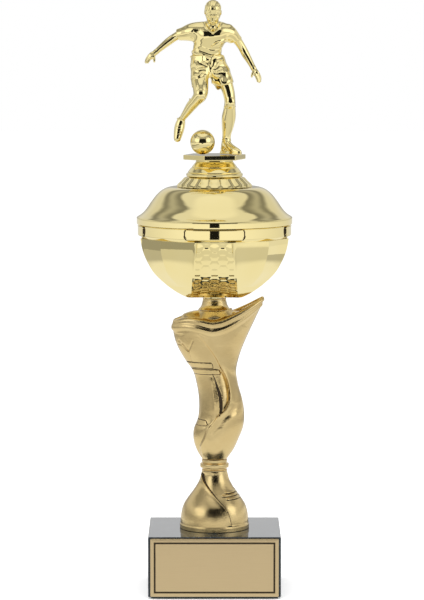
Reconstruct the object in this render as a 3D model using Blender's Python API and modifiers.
"""Covered-cup figure trophy: stone base, moulded draped riser, faceted cup, lift-off lid and footballer figure.

Metres, +Z up. The origin is the centre of the underside, on the surface that the trophy stands on; -Y is the front.
"""

import math

import bmesh
import bpy
from mathutils import Matrix, Vector

MM = 0.001
GAP = 0.3 * MM  # air between pieces that touch on the real object

# Driving dimensions
BASE_WIDTH = 90 * MM
BASE_DEPTH = 78 * MM
BASE_HEIGHT = 41.2 * MM
FELT_THICK = 0.9 * MM
FELT_INSET = 2 * MM
PLATE_WIDTH = 86.8 * MM
PLATE_HEIGHT = 39.6 * MM
PLATE_THICK = 1.0 * MM
TAPE_THICK = 0.7 * MM
BORDER_INSET = 2.4 * MM  # engraved border line of the plate
BORDER_WIDTH = 1.0 * MM
BORDER_DEPTH = 0.3 * MM

ROD_RADIUS = 3.0 * MM  # M6 threaded rod
BORE_RADIUS = 3.6 * MM  # clearance hole for it
NUT_RADIUS = 5.77 * MM  # M6 nut, 10 mm across its flats
NUT_THICK = 5.0 * MM
WASHER_RADIUS = 9.0 * MM
WASHER_THICK = 1.6 * MM
COUNTERBORE_RADIUS = 12 * MM
COUNTERBORE_DEPTH = 12 * MM

WALL = 2.0 * MM  # moulded riser pieces
SHELL = 1.6 * MM  # cup and lid
FOOT_TOP = 82.0 * MM
RING_TOP = 90.0 * MM
RISER_TOP = 193.0 * MM
STEM_TOP = 201.2 * MM
BOWL_FLOOR = 203.2 * MM  # underside of the bowl's floor, above its small boss
BOWL_TOP = 243.0 * MM
BAND_TOP = 252.0 * MM
LID_TOP = 277.3 * MM
FLUTED_TOP = 284.0 * MM
COLLAR_TOP = 295.7 * MM
STAND_TOP = 299.2 * MM  # upper face of the hexagonal plate under the player

FLUTES = 16
PANELS = 4  # textured panels of the bowl, and plaques of its band
TURN_STEPS = 32
HEXAGON_TURN = math.radians(11.7)
HEXAGON_RADIUS = 21.8 * MM
BALL_RADIUS = 8.4 * MM
BALL_CENTRE = (-8.1 * MM, -7.0 * MM)

BASE_BOTTOM = FELT_THICK + GAP
BASE_TOP = BASE_BOTTOM + BASE_HEIGHT


# ---------------------------------------------------------------- helpers


def clear_scene():
    for obj in list(bpy.data.objects):
        bpy.data.objects.remove(obj, do_unlink=True)


def new_collection(name):
    made = bpy.data.collections.new(name)
    bpy.context.scene.collection.children.link(made)
    return made


def make_material(name, colour, roughness, metallic):
    made = bpy.data.materials.new(name)
    made.use_nodes = True
    shader = made.node_tree.nodes["Principled BSDF"]
    shader.inputs["Base Color"].default_value = (*colour, 1.0)
    shader.inputs["Roughness"].default_value = roughness
    shader.inputs["Metallic"].default_value = metallic
    return made


def put(name, mesh, material, collection, smooth=True):
    """A new object for this mesh, shaded smooth with its edges over 35 degrees kept sharp."""
    obj = bpy.data.objects.new(name, mesh)
    collection.objects.link(obj)
    if material is not None:
        mesh.materials.append(material)
    if smooth:
        mesh.shade_smooth()
        mesh.set_sharp_from_angle(angle=math.radians(35))
    return obj


def mesh_from_bmesh(name, bm):
    mesh = bpy.data.meshes.new(name)
    bmesh.ops.recalc_face_normals(bm, faces=bm.faces)
    bm.to_mesh(mesh)
    bm.free()
    return mesh


def box(name, size, centre, material, collection):
    bm = bmesh.new()
    bmesh.ops.create_cube(bm, size=1.0)
    bmesh.ops.scale(bm, vec=Vector(size), verts=bm.verts)
    obj = put(name, mesh_from_bmesh(name, bm), material, collection, smooth=False)
    obj.location = centre
    return obj


def prism(name, sides, radius, low, high, material, collection, turn=0.0):
    """An upright cylinder, or a hexagon with 6 sides, centred on the trophy's axis."""
    bm = bmesh.new()
    bmesh.ops.create_cone(
        bm, cap_ends=True, segments=sides, radius1=radius, radius2=radius, depth=high - low
    )
    obj = put(name, mesh_from_bmesh(name, bm), material, collection)
    obj.location = (0, 0, (low + high) / 2)
    obj.rotation_euler = (0, 0, turn)
    return obj


def turned(name, profile, material, collection, steps=TURN_STEPS):
    """A ring turned about Z. The closed profile, in mm, runs down the outside and back up the inside."""
    points = [(r * MM, 0, z * MM) for r, z in profile]
    count = len(points)
    loop = [(i, (i + 1) % count) for i in range(count)]
    mesh = bpy.data.meshes.new(name)
    mesh.from_pydata(points, loop, [])
    obj = put(name, mesh, material, collection)
    screw = obj.modifiers.new("turn", "SCREW")
    screw.steps = steps
    screw.render_steps = steps
    screw.use_merge_vertices = True
    screw.merge_threshold = 0.00001
    return obj


def cut(obj, cutter, operation="DIFFERENCE"):
    boolean = obj.modifiers.new("cut by " + cutter.name, "BOOLEAN")
    boolean.operation = operation
    boolean.object = cutter
    cutter.hide_render = True
    cutter.display_type = "WIRE"


def loft(rings, cap_ends=False, close_stack=False):
    """Points and quad faces of a skin over closed rings that all have the same number of points."""
    count = len(rings[0])
    points = [p for ring in rings for p in ring]
    faces = []
    stack = len(rings)
    for i in range(stack if close_stack else stack - 1):
        low, high = i * count, ((i + 1) % stack) * count
        for j in range(count):
            k = (j + 1) % count
            faces.append((low + j, low + k, high + k, high + j))
    if cap_ends:
        faces.append(tuple(range(count)))
        faces.append(tuple((stack - 1) * count + j for j in range(count)))
    return points, faces


def lofted(name, rings, material, collection, **options):
    bm = bmesh.new()
    points, faces = loft(rings, **options)
    made = [bm.verts.new(p) for p in points]
    for face in faces:
        bm.faces.new([made[i] for i in face])
    return put(name, mesh_from_bmesh(name, bm), material, collection)


def interpolate(table, x):
    """The row of values at x, on straight lines between the rows (x, values...) of a table in rising order."""
    for low, high in zip(table, table[1:]):
        if x <= high[0]:
            t = max(0.0, (x - low[0]) / (high[0] - low[0]))
            return [a + (b - a) * t for a, b in zip(low[1:], high[1:])]
    return list(table[-1][1:])


def smooth_path(rows, per_span):
    """Catmull-Rom interpolation of rows of numbers, with per_span steps between neighbours."""
    made = []
    last = len(rows) - 1
    for i in range(last):
        p0, p1, p2, p3 = rows[max(i - 1, 0)], rows[i], rows[i + 1], rows[min(i + 2, last)]
        for step in range(per_span):
            t = step / per_span
            made.append(
                [
                    0.5 * (2 * b + (c - a) * t + (2 * a - 5 * b + 4 * c - d) * t**2 + (3 * b - a - 3 * c + d) * t**3)
                    for a, b, c, d in zip(p0, p1, p2, p3)
                ]
            )
    made.append(list(rows[-1]))
    return made


# ---------------------------------------------------------------- stone base and its plate


def build_base(parts, cutters, stone, felt, tape, brass_plate, steel):
    box(
        "base_felt",
        (BASE_WIDTH - 2 * FELT_INSET, BASE_DEPTH - 2 * FELT_INSET, FELT_THICK),
        (0, 0, FELT_THICK / 2),
        felt,
        parts,
    )
    block = box(
        "marble_base",
        (BASE_WIDTH, BASE_DEPTH, BASE_HEIGHT),
        (0, 0, BASE_BOTTOM + BASE_HEIGHT / 2),
        stone,
        parts,
    )
    edge = block.modifiers.new("edge", "BEVEL")
    edge.width = 0.5 * MM
    edge.segments = 1
    cut(block, prism("rod_hole", 24, BORE_RADIUS, 0, BASE_TOP + MM, None, cutters))
    counterbore_top = BASE_BOTTOM + COUNTERBORE_DEPTH
    cut(block, prism("counterbore", 32, COUNTERBORE_RADIUS, 0, counterbore_top, None, cutters))

    front = -BASE_DEPTH / 2
    middle = BASE_BOTTOM + BASE_HEIGHT / 2
    tape_y = front - GAP - TAPE_THICK / 2
    plate_y = front - 2 * GAP - TAPE_THICK - PLATE_THICK / 2
    box(
        "plate_tape",
        (PLATE_WIDTH - 3 * MM, TAPE_THICK, PLATE_HEIGHT - 3 * MM),
        (0, tape_y, middle),
        tape,
        parts,
    )
    plate = box(
        "engraving_plate",
        (PLATE_WIDTH, PLATE_THICK, PLATE_HEIGHT),
        (0, plate_y, middle),
        brass_plate,
        parts,
    )
    outer = box(
        "border_outside",
        (PLATE_WIDTH - 2 * BORDER_INSET, 2 * BORDER_DEPTH, PLATE_HEIGHT - 2 * BORDER_INSET),
        (0, plate_y - PLATE_THICK / 2, middle),
        None,
        cutters,
    )
    inset = BORDER_INSET + BORDER_WIDTH
    inner = box(
        "border_inside",
        (PLATE_WIDTH - 2 * inset, 6 * BORDER_DEPTH, PLATE_HEIGHT - 2 * inset),
        (0, plate_y - PLATE_THICK / 2, middle),
        None,
        cutters,
    )
    cut(outer, inner)
    cut(plate, outer)

    seat = counterbore_top - GAP
    washer("base_washer", seat - WASHER_THICK, steel, parts)
    nut("base_nut", seat - WASHER_THICK - GAP - NUT_THICK, NUT_THICK, steel, parts, cutters)


def washer(name, low, material, collection):
    inner, outer = BORE_RADIUS / MM - 0.2, WASHER_RADIUS / MM
    bottom, top = low / MM, (low + WASHER_THICK) / MM
    turned(name, [(outer, top), (outer, bottom), (inner, bottom), (inner, top)], material, collection, 24)


def nut(name, low, thick, material, collection, cutters):
    body = prism(name, 6, NUT_RADIUS, low, low + thick, material, collection)
    hole = prism(name + "_hole", 20, ROD_RADIUS + GAP, low - MM, low + thick + MM, None, cutters)
    cut(body, hole)


# ---------------------------------------------------------------- riser


def build_riser(parts, gold, steel):
    bore = BORE_RADIUS / MM
    foot_low = (BASE_TOP + GAP) / MM
    foot_top = FOOT_TOP / MM
    turned(
        "riser_foot",
        [
            (bore, foot_top), (8.6, foot_top), (9.2, 79.6), (10.3, 75.5), (12.5, 71.3), (15.4, 67.2),
            (18.4, 63.0), (21.1, 58.8), (22.5, 54.6), (23.2, 50.4), (23.4, 45.8), (23.8, 45.4),
            (23.8, foot_low), (21.4, foot_low), (21.1, 50.0), (19.2, 58.0), (15.6, 63.8), (11.2, 69.0),
            (8.2, 74.0), (6.9, 79.0), (bore, foot_top - WALL / MM),
        ],
        gold,
        parts,
    )  # fmt: skip
    ring_low, ring_top = foot_top + GAP / MM, RING_TOP / MM
    bead = [
        (8.3 + 1.5 * math.cos(math.radians(a)), 85.7 + 1.8 * math.sin(math.radians(a)))
        for a in (70, 35, 0, -35, -70)
    ]
    turned(
        "waist_ring",
        [(bore, ring_top), (8.5, ring_top), (8.5, 87.9), *bead, (8.2, 83.6), (8.2, ring_low), (bore, ring_low)],
        gold,
        parts,
        32,
    )
    for name, side in (("riser_front", -1), ("riser_back", 1)):
        lofted(name, [riser_section(o, i, side) for o, i in riser_stations()], gold, parts, cap_ends=True)
    stem_low, stem_top = (RISER_TOP + GAP) / MM, STEM_TOP / MM
    turned(
        "cup_stem",
        [(bore, stem_top), (8.0, stem_top), (8.3, 198.6), (8.8, 195.8), (9.4, stem_low), (bore, stem_low)],
        gold,
        parts,
        32,
    )
    rod_low, rod_high = 4.5 * MM, BOWL_FLOOR + SHELL + 2 * GAP + WASHER_THICK + NUT_THICK + 1.9 * MM
    prism("threaded_rod", 20, ROD_RADIUS, rod_low, rod_high, steel, parts)


def riser_stations():
    """Pairs of stations, outside and inside, up the draped column. A station is (left x, left z, right x, right z,
    half depth, sag of the front and back below the line from left to right), in mm.
    """
    bore = BORE_RADIUS / MM
    body = [
        (-8.6, 90.3, 8.6, 90.3, 8.6, 0),
        (-12.0, 96.0, 12.9, 96.4, 11.5, 0),
        (-14.5, 104.5, 16.8, 104.7, 13.8, 0),
        (-14.3, 110.5, 19.6, 112.0, 14.8, 0),
        (-11.4, 118.5, 20.5, 121.0, 14.8, 0),
        (-10.4, 130.0, 19.4, 130.0, 13.8, 0),
        (-12.0, 142.0, 16.2, 142.0, 12.6, 0),
        (-15.0, 151.5, 14.9, 151.0, 12.6, 0),
        (-20.5, 159.5, 16.6, 160.0, 13.8, 0.5),
        (-25.0, 167.5, 20.3, 170.5, 15.2, 2),
        (-27.4, 174.5, 25.6, 182.0, 16.4, 4),
        (-28.2, 180.5, 30.6, 192.0, 17.2, 7),
        (-27.0, 185.0, 34.4, 200.0, 17.4, 10),
    ]
    shoulder = [
        (-24.0, 187.6, 33.0, 201.8, 15.5, 9.5),
        (-17.0, 190.2, 15.5, 193.3, 11.5, 4),
        (-9.4, 193.0, 9.4, 193.0, 9.4, 0),
    ]
    shoulder_inside = [
        (-22.0, 184.4, 24.0, 192.0, 13.0, 7.5),
        (-15.0, 187.8, 13.0, 190.4, 9.6, 3.5),
        (-7.4, 190.6, 7.4, 190.6, 7.4, 0),
    ]
    wall = WALL / MM
    outside = smooth_path(body, 2)
    inside = [(a + wall, b, c - wall, d, e - wall, f) for a, b, c, d, e, f in outside]
    # The wing is solid, so the hollow stops short of it, and the floor at the waist has the wall's thickness.
    inside[-1] = (-24.8, 181.5, 27.0, 190.0, 15.0, 8.5)
    inside[-2] = (-25.6, 179.0, 26.6, 188.0, 15.2, 7.0)
    floor = 92.6
    inside[0] = (-6.6, floor, 6.6, floor, 6.6, 0)
    start = ((-bore, 90.3, bore, 90.3, bore, 0), (-bore, floor, bore, floor, bore, 0))
    end = ((-bore, 193.0, bore, 193.0, bore, 0), (-bore, 190.6, bore, 190.6, bore, 0))
    return [start, *zip(outside + shoulder, inside + shoulder_inside), end]


def riser_section(outside, inside, side, steps=10):
    """One closed loop of a half shell: the outer arc from left to right, then the inner arc back."""

    def arc(station):
        xl, zl, xr, zr, depth, sag = station
        for i in range(steps + 1):
            along = math.pi * i / steps
            t = (1 - math.cos(along)) / 2
            out = math.sin(along)
            x, z = xl + (xr - xl) * t, zl + (zr - zl) * t - sag * out**1.5
            yield Vector((x * MM, side * (depth * out * MM + GAP / 2), z * MM))

    return [*arc(outside), *reversed(list(arc(inside)))]


# ---------------------------------------------------------------- cup

BOWL_PROFILE = [  # height and half width over a textured panel, mm
    (203.2, 18.4), (205.0, 22.2), (209.0, 28.7), (214.0, 35.0), (220.0, 40.9), (226.0, 44.6),
    (232.0, 47.4), (238.0, 49.1), (243.0, 50.0),
]  # fmt: skip


def bowl_ring(z, inset=0.0):
    """24 points of the bowl's twelve-sided section at height z, mm: four flat panels, and two facets between each."""
    flat = interpolate(BOWL_PROFILE, z)[0] - inset
    half = min(13.1 + (243 - z) * 0.083, flat * 0.94)
    ridge = max(flat * (1.036 + 0.03 * min(1.0, (243 - z) / 20)), (half + flat) / math.sqrt(2) * 1.004)
    made = []
    for quarter in range(PANELS):
        turn = Matrix.Rotation(quarter * math.pi / 2, 3, "Z")
        corner_a, corner_b = Vector((flat, -half, z)), Vector((flat, half, z))
        top = Vector((ridge * math.cos(math.pi / 4), ridge * math.sin(math.pi / 4), z))
        next_corner = Vector((half, flat, z))
        for p in (
            corner_a,
            (corner_a + corner_b) / 2,
            corner_b,
            (corner_b + top) / 2,
            top,
            (top + next_corner) / 2,
        ):
            made.append(turn @ p * MM)
    return made


def round_ring(radius, z, count):
    return [
        Vector((radius * math.cos(a), radius * math.sin(a), z)) * MM
        for a in (2 * math.pi * i / count for i in range(count))
    ]


def matched_ring(radius, z, like):
    """A circle whose points lie in the same directions as those of another ring."""
    return [Vector((p.x, p.y, 0)).normalized() * radius * MM + Vector((0, 0, z * MM)) for p in like]


def build_cup(parts, cutters, gold, steel):
    shell = SHELL / MM
    bore = BORE_RADIUS / MM
    floor = BOWL_FLOOR / MM
    top = BOWL_TOP / MM
    like = bowl_ring(top)
    spigot_top = 251.5
    outside = [bowl_ring(z) for z, _ in BOWL_PROFILE]
    inside_levels = [z for z, _ in BOWL_PROFILE[1:-1]] + [top - shell]
    inside = [bowl_ring(z, shell) for z in inside_levels]
    rings = [
        matched_ring(bore, STEM_TOP / MM + 0.3, like),
        matched_ring(7.2, STEM_TOP / MM + 0.3, like),
        matched_ring(7.2, floor, like),
        *outside,
        matched_ring(48.6, top, like),
        matched_ring(48.6, spigot_top, like),
        matched_ring(46.9, spigot_top, like),
        matched_ring(46.9, top - shell, like),
        *reversed(inside),
        matched_ring(bore, floor + shell, like),
    ]
    lofted("cup_bowl", rings, gold, parts, close_stack=True)

    seat = BOWL_FLOOR + SHELL + GAP
    washer("cup_washer", seat, steel, parts)
    nut("cup_nut", seat + WASHER_THICK + GAP, NUT_THICK, steel, parts, cutters)
    build_band(parts, gold)


def build_band(parts, gold):
    """The round band over the bowl's facets, with four plaques that stand about 1 mm proud."""
    count = 48
    half_plaque = math.radians(22.8)
    low, high = (BOWL_TOP + GAP) / MM, BAND_TOP / MM
    levels = [(low, 50.3, 0.0), (244.6, 51.5, 0.6), (248.2, 51.5, 1.1), (250.8, 51.5, 0.6), (high, 51.5, 0.0)]

    def ring(z, radius, raised):
        made = []
        for i in range(count):
            a = 2 * math.pi * i / count
            off_centre = abs((a + math.pi / 4) % (math.pi / 2) - math.pi / 4)
            r = radius + (raised if off_centre < half_plaque else 0.0)
            made.append(Vector((r * math.cos(a), r * math.sin(a), z)) * MM)
        return made

    rings = [ring(*level) for level in levels]
    rings += [round_ring(48.9, high, count), round_ring(48.9, low, count)]
    lofted("cup_band", rings, gold, parts, close_stack=True)


# ---------------------------------------------------------------- lid with its figure


def build_lid(parts, cutters, bright, steel, brass):
    bore = BORE_RADIUS / MM
    top = LID_TOP / MM
    seat = (BAND_TOP + GAP) / MM
    turned(
        "lid_dome",
        [
            (bore, top), (28.5, top), (32.0, 276.8), (35.2, 275.3), (38.0, 273.2), (40.6, 270.6),
            (43.2, 267.2), (45.4, 263.8), (47.4, 261.0), (50.2, 258.5), (52.4, 257.1), (53.1, 256.4),
            (53.1, seat), (46.0, seat), (46.0, 246.5), (44.4, 246.5), (44.4, 262.2), (41.8, 266.4),
            (39.2, 269.7), (36.8, 272.0), (34.3, 273.9), (31.4, 275.2), (28.2, top - 1.6), (bore, top - 1.6),
        ],
        bright,
        parts,
        40,
    )  # fmt: skip
    build_fluted_ring(parts, bright)
    collar_low, collar_top = (FLUTED_TOP + GAP) / MM, COLLAR_TOP / MM
    turned(
        "figure_collar",
        [
            (bore, collar_top), (12.9, collar_top), (12.9, 294.4), (15.5, 290.6), (16.0, 290.2), (16.0, 289.6),
            (19.3, 285.4), (19.3, collar_low), (17.3, collar_low), (13.6, 289.2), (11.0, 293.4), (bore, 293.6),
        ],
        bright,
        parts,
    )  # fmt: skip
    nut("collar_insert", 287.2 * MM, 6.0 * MM, brass, parts, cutters)

    washer_low = LID_TOP - SHELL - GAP - WASHER_THICK
    washer("lid_washer", washer_low, steel, parts)
    head_top = washer_low - GAP
    head = prism("lid_bolt", 6, NUT_RADIUS, head_top - 4 * MM, head_top, steel, parts)
    shank = prism("lid_bolt_shank", 20, ROD_RADIUS, head_top - 2 * MM, 292.6 * MM, None, cutters)
    cut(head, shank, "UNION")

    # A six-sided cylinder has a corner towards -Y, and the plate has a flat there, turned a little to the right.
    turn = math.radians(30) + HEXAGON_TURN
    stand = prism("figure_plate", 6, HEXAGON_RADIUS, COLLAR_TOP + GAP, STAND_TOP, bright, parts, turn)
    edge = stand.modifiers.new("edge", "BEVEL")
    edge.width = 0.4 * MM
    edge.segments = 1

    bm = bmesh.new()
    bmesh.ops.create_uvsphere(bm, u_segments=20, v_segments=12, radius=BALL_RADIUS)
    ball = put("ball", mesh_from_bmesh("ball", bm), bright, parts)
    ball.location = (*BALL_CENTRE, STAND_TOP + GAP + BALL_RADIUS)
    build_player(parts, bright)


def build_fluted_ring(parts, bright):
    """Sixteen rounded flutes on a cone, one of them facing the front."""
    low, high = (LID_TOP + GAP) / MM, FLUTED_TOP / MM
    profile = [(low, 26.0), (279.0, 25.2), (280.6, 24.0), (282.4, 22.1), (high, 19.6)]
    inner = 12.0
    hollows = (1.1, 0.3, 0.0, 0.3)  # how far the points of one flute lie inside the cone, mm
    count = FLUTES * len(hollows)

    def ring(z, radius, fluted=True):
        made = []
        for i in range(count):
            a = 2 * math.pi * (i - len(hollows) / 2) / count - math.pi / 2
            r = radius - (hollows[i % len(hollows)] if fluted else 0.0)
            made.append(Vector((r * math.cos(a), r * math.sin(a), z)) * MM)
        return made

    rings = [ring(z, r) for z, r in profile]
    rings += [ring(high, inner, fluted=False), ring(low, inner, fluted=False)]
    lofted("fluted_ring", rings, bright, parts, close_stack=True)


# The player's skeleton, in mm from the middle of the plate's upper face: name, (x, y, z), radius.
JOINTS = {
    "crown": ((0.0, -6.9, 97.9), 6.2),
    "face": ((0.2, -8.4, 93.4), 5.2),
    "neck": ((0.6, -4.6, 87.0), 3.6),
    "chest": ((-0.8, -2.0, 79.5), 8.4),
    "left_breast": ((-6.2, -1.6, 80.0), 8.0),
    "right_breast": ((4.6, -1.6, 80.0), 8.0),
    "waist": ((-5.0, 0.5, 69.0), 8.4),
    "left_waist": ((-8.4, 0.5, 67.5), 8.0),
    "right_waist": ((-2.0, 0.5, 67.5), 8.0),
    "left_hip": ((-9.4, 0.5, 58.5), 8.2),
    "right_hip": ((0.8, 1.0, 58.5), 8.2),
    "left_shoulder": ((-10.8, -0.5, 84.4), 5.0),
    "left_sleeve": ((-22.4, 3.2, 80.4), 4.6),
    "left_elbow": ((-26.4, 4.4, 79.6), 3.3),
    "left_wrist": ((-38.8, 2.4, 70.0), 2.2),
    "left_hand": ((-43.4, 1.6, 65.2), 2.4),
    "left_fingers": ((-45.4, 1.2, 62.8), 1.8),
    "right_shoulder": ((9.6, -0.5, 83.8), 5.0),
    "right_sleeve": ((16.8, 3.0, 75.6), 4.6),
    "right_elbow": ((19.6, 3.6, 72.0), 3.3),
    "right_wrist": ((26.4, 1.2, 57.0), 2.2),
    "right_hand": ((28.8, 0.4, 52.6), 2.4),
    "right_fingers": ((30.2, 0.0, 49.4), 1.8),
    "left_thigh": ((-10.0, -5.5, 51.5), 8.2),
    "left_hem": ((-9.6, -8.5, 46.0), 8.0),
    "left_knee": ((-8.6, -12.0, 38.5), 5.0),
    "left_calf": ((-15.0, -6.5, 32.0), 4.6),
    "left_ankle": ((-22.0, 0.5, 23.8), 3.0),
    "left_heel": ((-22.4, 2.0, 20.4), 3.4),
    "left_toe": ((-25.4, -2.5, 8.8), 3.0),
    "right_thigh": ((6.6, -2.0, 51.5), 8.4),
    "right_hem": ((8.2, -3.0, 46.0), 8.2),
    "right_knee": ((11.0, -4.5, 33.0), 4.8),
    "right_calf": ((10.4, 0.5, 24.0), 5.0),
    "right_ankle": ((8.2, 1.5, 9.4), 3.2),
    "right_heel": ((7.4, 1.6, 3.6), 3.4),
    "right_toe": ((16.2, -8.0, 3.0), 3.0),
}
BONES = [
    ("crown", "face"), ("face", "neck"), ("neck", "chest"), ("left_breast", "right_breast"),
    ("left_breast", "left_waist"), ("right_breast", "right_waist"), ("chest", "waist"),
    ("left_waist", "right_waist"), ("left_waist", "left_hip"), ("right_waist", "right_hip"),
    ("left_hip", "right_hip"), ("left_breast", "left_shoulder"), ("left_shoulder", "left_sleeve"),
    ("left_sleeve", "left_elbow"), ("left_elbow", "left_wrist"), ("left_wrist", "left_hand"),
    ("left_hand", "left_fingers"), ("right_breast", "right_shoulder"), ("right_shoulder", "right_sleeve"),
    ("right_sleeve", "right_elbow"), ("right_elbow", "right_wrist"), ("right_wrist", "right_hand"),
    ("right_hand", "right_fingers"), ("left_hip", "left_thigh"), ("left_thigh", "left_hem"),
    ("left_hem", "left_knee"), ("left_knee", "left_calf"), ("left_calf", "left_ankle"),
    ("left_ankle", "left_heel"), ("left_heel", "left_toe"), ("right_hip", "right_thigh"),
    ("right_thigh", "right_hem"), ("right_hem", "right_knee"), ("right_knee", "right_calf"),
    ("right_calf", "right_ankle"),
    ("right_ankle", "right_heel"), ("right_heel", "right_toe"), ("right_ankle", "right_toe"),
]  # fmt: skip


def build_player(parts, bright):
    """The footballer as tapered bones over a skeleton, fused and smoothed into one closed skin."""
    bm = bmesh.new()
    for centre, radius in JOINTS.values():
        place = Matrix.Translation(Vector(centre) * MM)
        bmesh.ops.create_uvsphere(bm, u_segments=12, v_segments=8, radius=radius * MM, matrix=place)
    for start, end in BONES:
        (a, ra), (b, rb) = JOINTS[start], JOINTS[end]
        a, b = Vector(a) * MM, Vector(b) * MM
        place = Matrix.Translation((a + b) / 2) @ (b - a).to_track_quat("Z", "Y").to_matrix().to_4x4()
        bmesh.ops.create_cone(
            bm, cap_ends=True, segments=12, radius1=ra * MM, radius2=rb * MM, depth=(b - a).length, matrix=place
        )
    player = put("player_figure", mesh_from_bmesh("player_figure", bm), bright, parts)
    player.location = (0, 0, STAND_TOP)
    fuse = player.modifiers.new("fuse", "REMESH")
    fuse.mode = "VOXEL"
    fuse.voxel_size = 0.9 * MM
    relax = player.modifiers.new("relax", "SMOOTH")
    relax.iterations = 4
    thin = player.modifiers.new("thin", "DECIMATE")
    thin.ratio = 0.12
    floor = box("under_soles", (0.1, 0.1, 0.02), (0, 0, STAND_TOP + GAP - 0.01), None, bpy.data.collections["cutters"])
    cut(player, floor)


def main():
    clear_scene()
    parts = new_collection("figure_trophy")
    cutters = new_collection("cutters")
    stone = make_material("polished_stone", (0.02, 0.028, 0.03), 0.08, 0.0)
    felt = make_material("felt", (0.02, 0.025, 0.02), 0.95, 0.0)
    tape = make_material("foam_tape", (0.75, 0.74, 0.7), 0.8, 0.0)
    plate = make_material("plate_gold", (0.56, 0.41, 0.22), 0.45, 0.6)
    satin = make_material("satin_gold", (0.76, 0.6, 0.28), 0.3, 1.0)
    bright = make_material("bright_gold", (0.9, 0.77, 0.42), 0.08, 1.0)
    steel = make_material("zinc_steel", (0.6, 0.61, 0.62), 0.35, 1.0)
    brass = make_material("brass", (0.7, 0.52, 0.22), 0.35, 1.0)
    build_base(parts, cutters, stone, felt, tape, plate, steel)
    build_riser(parts, satin, steel)
    build_cup(parts, cutters, bright, steel)
    build_lid(parts, cutters, bright, steel, brass)


main()
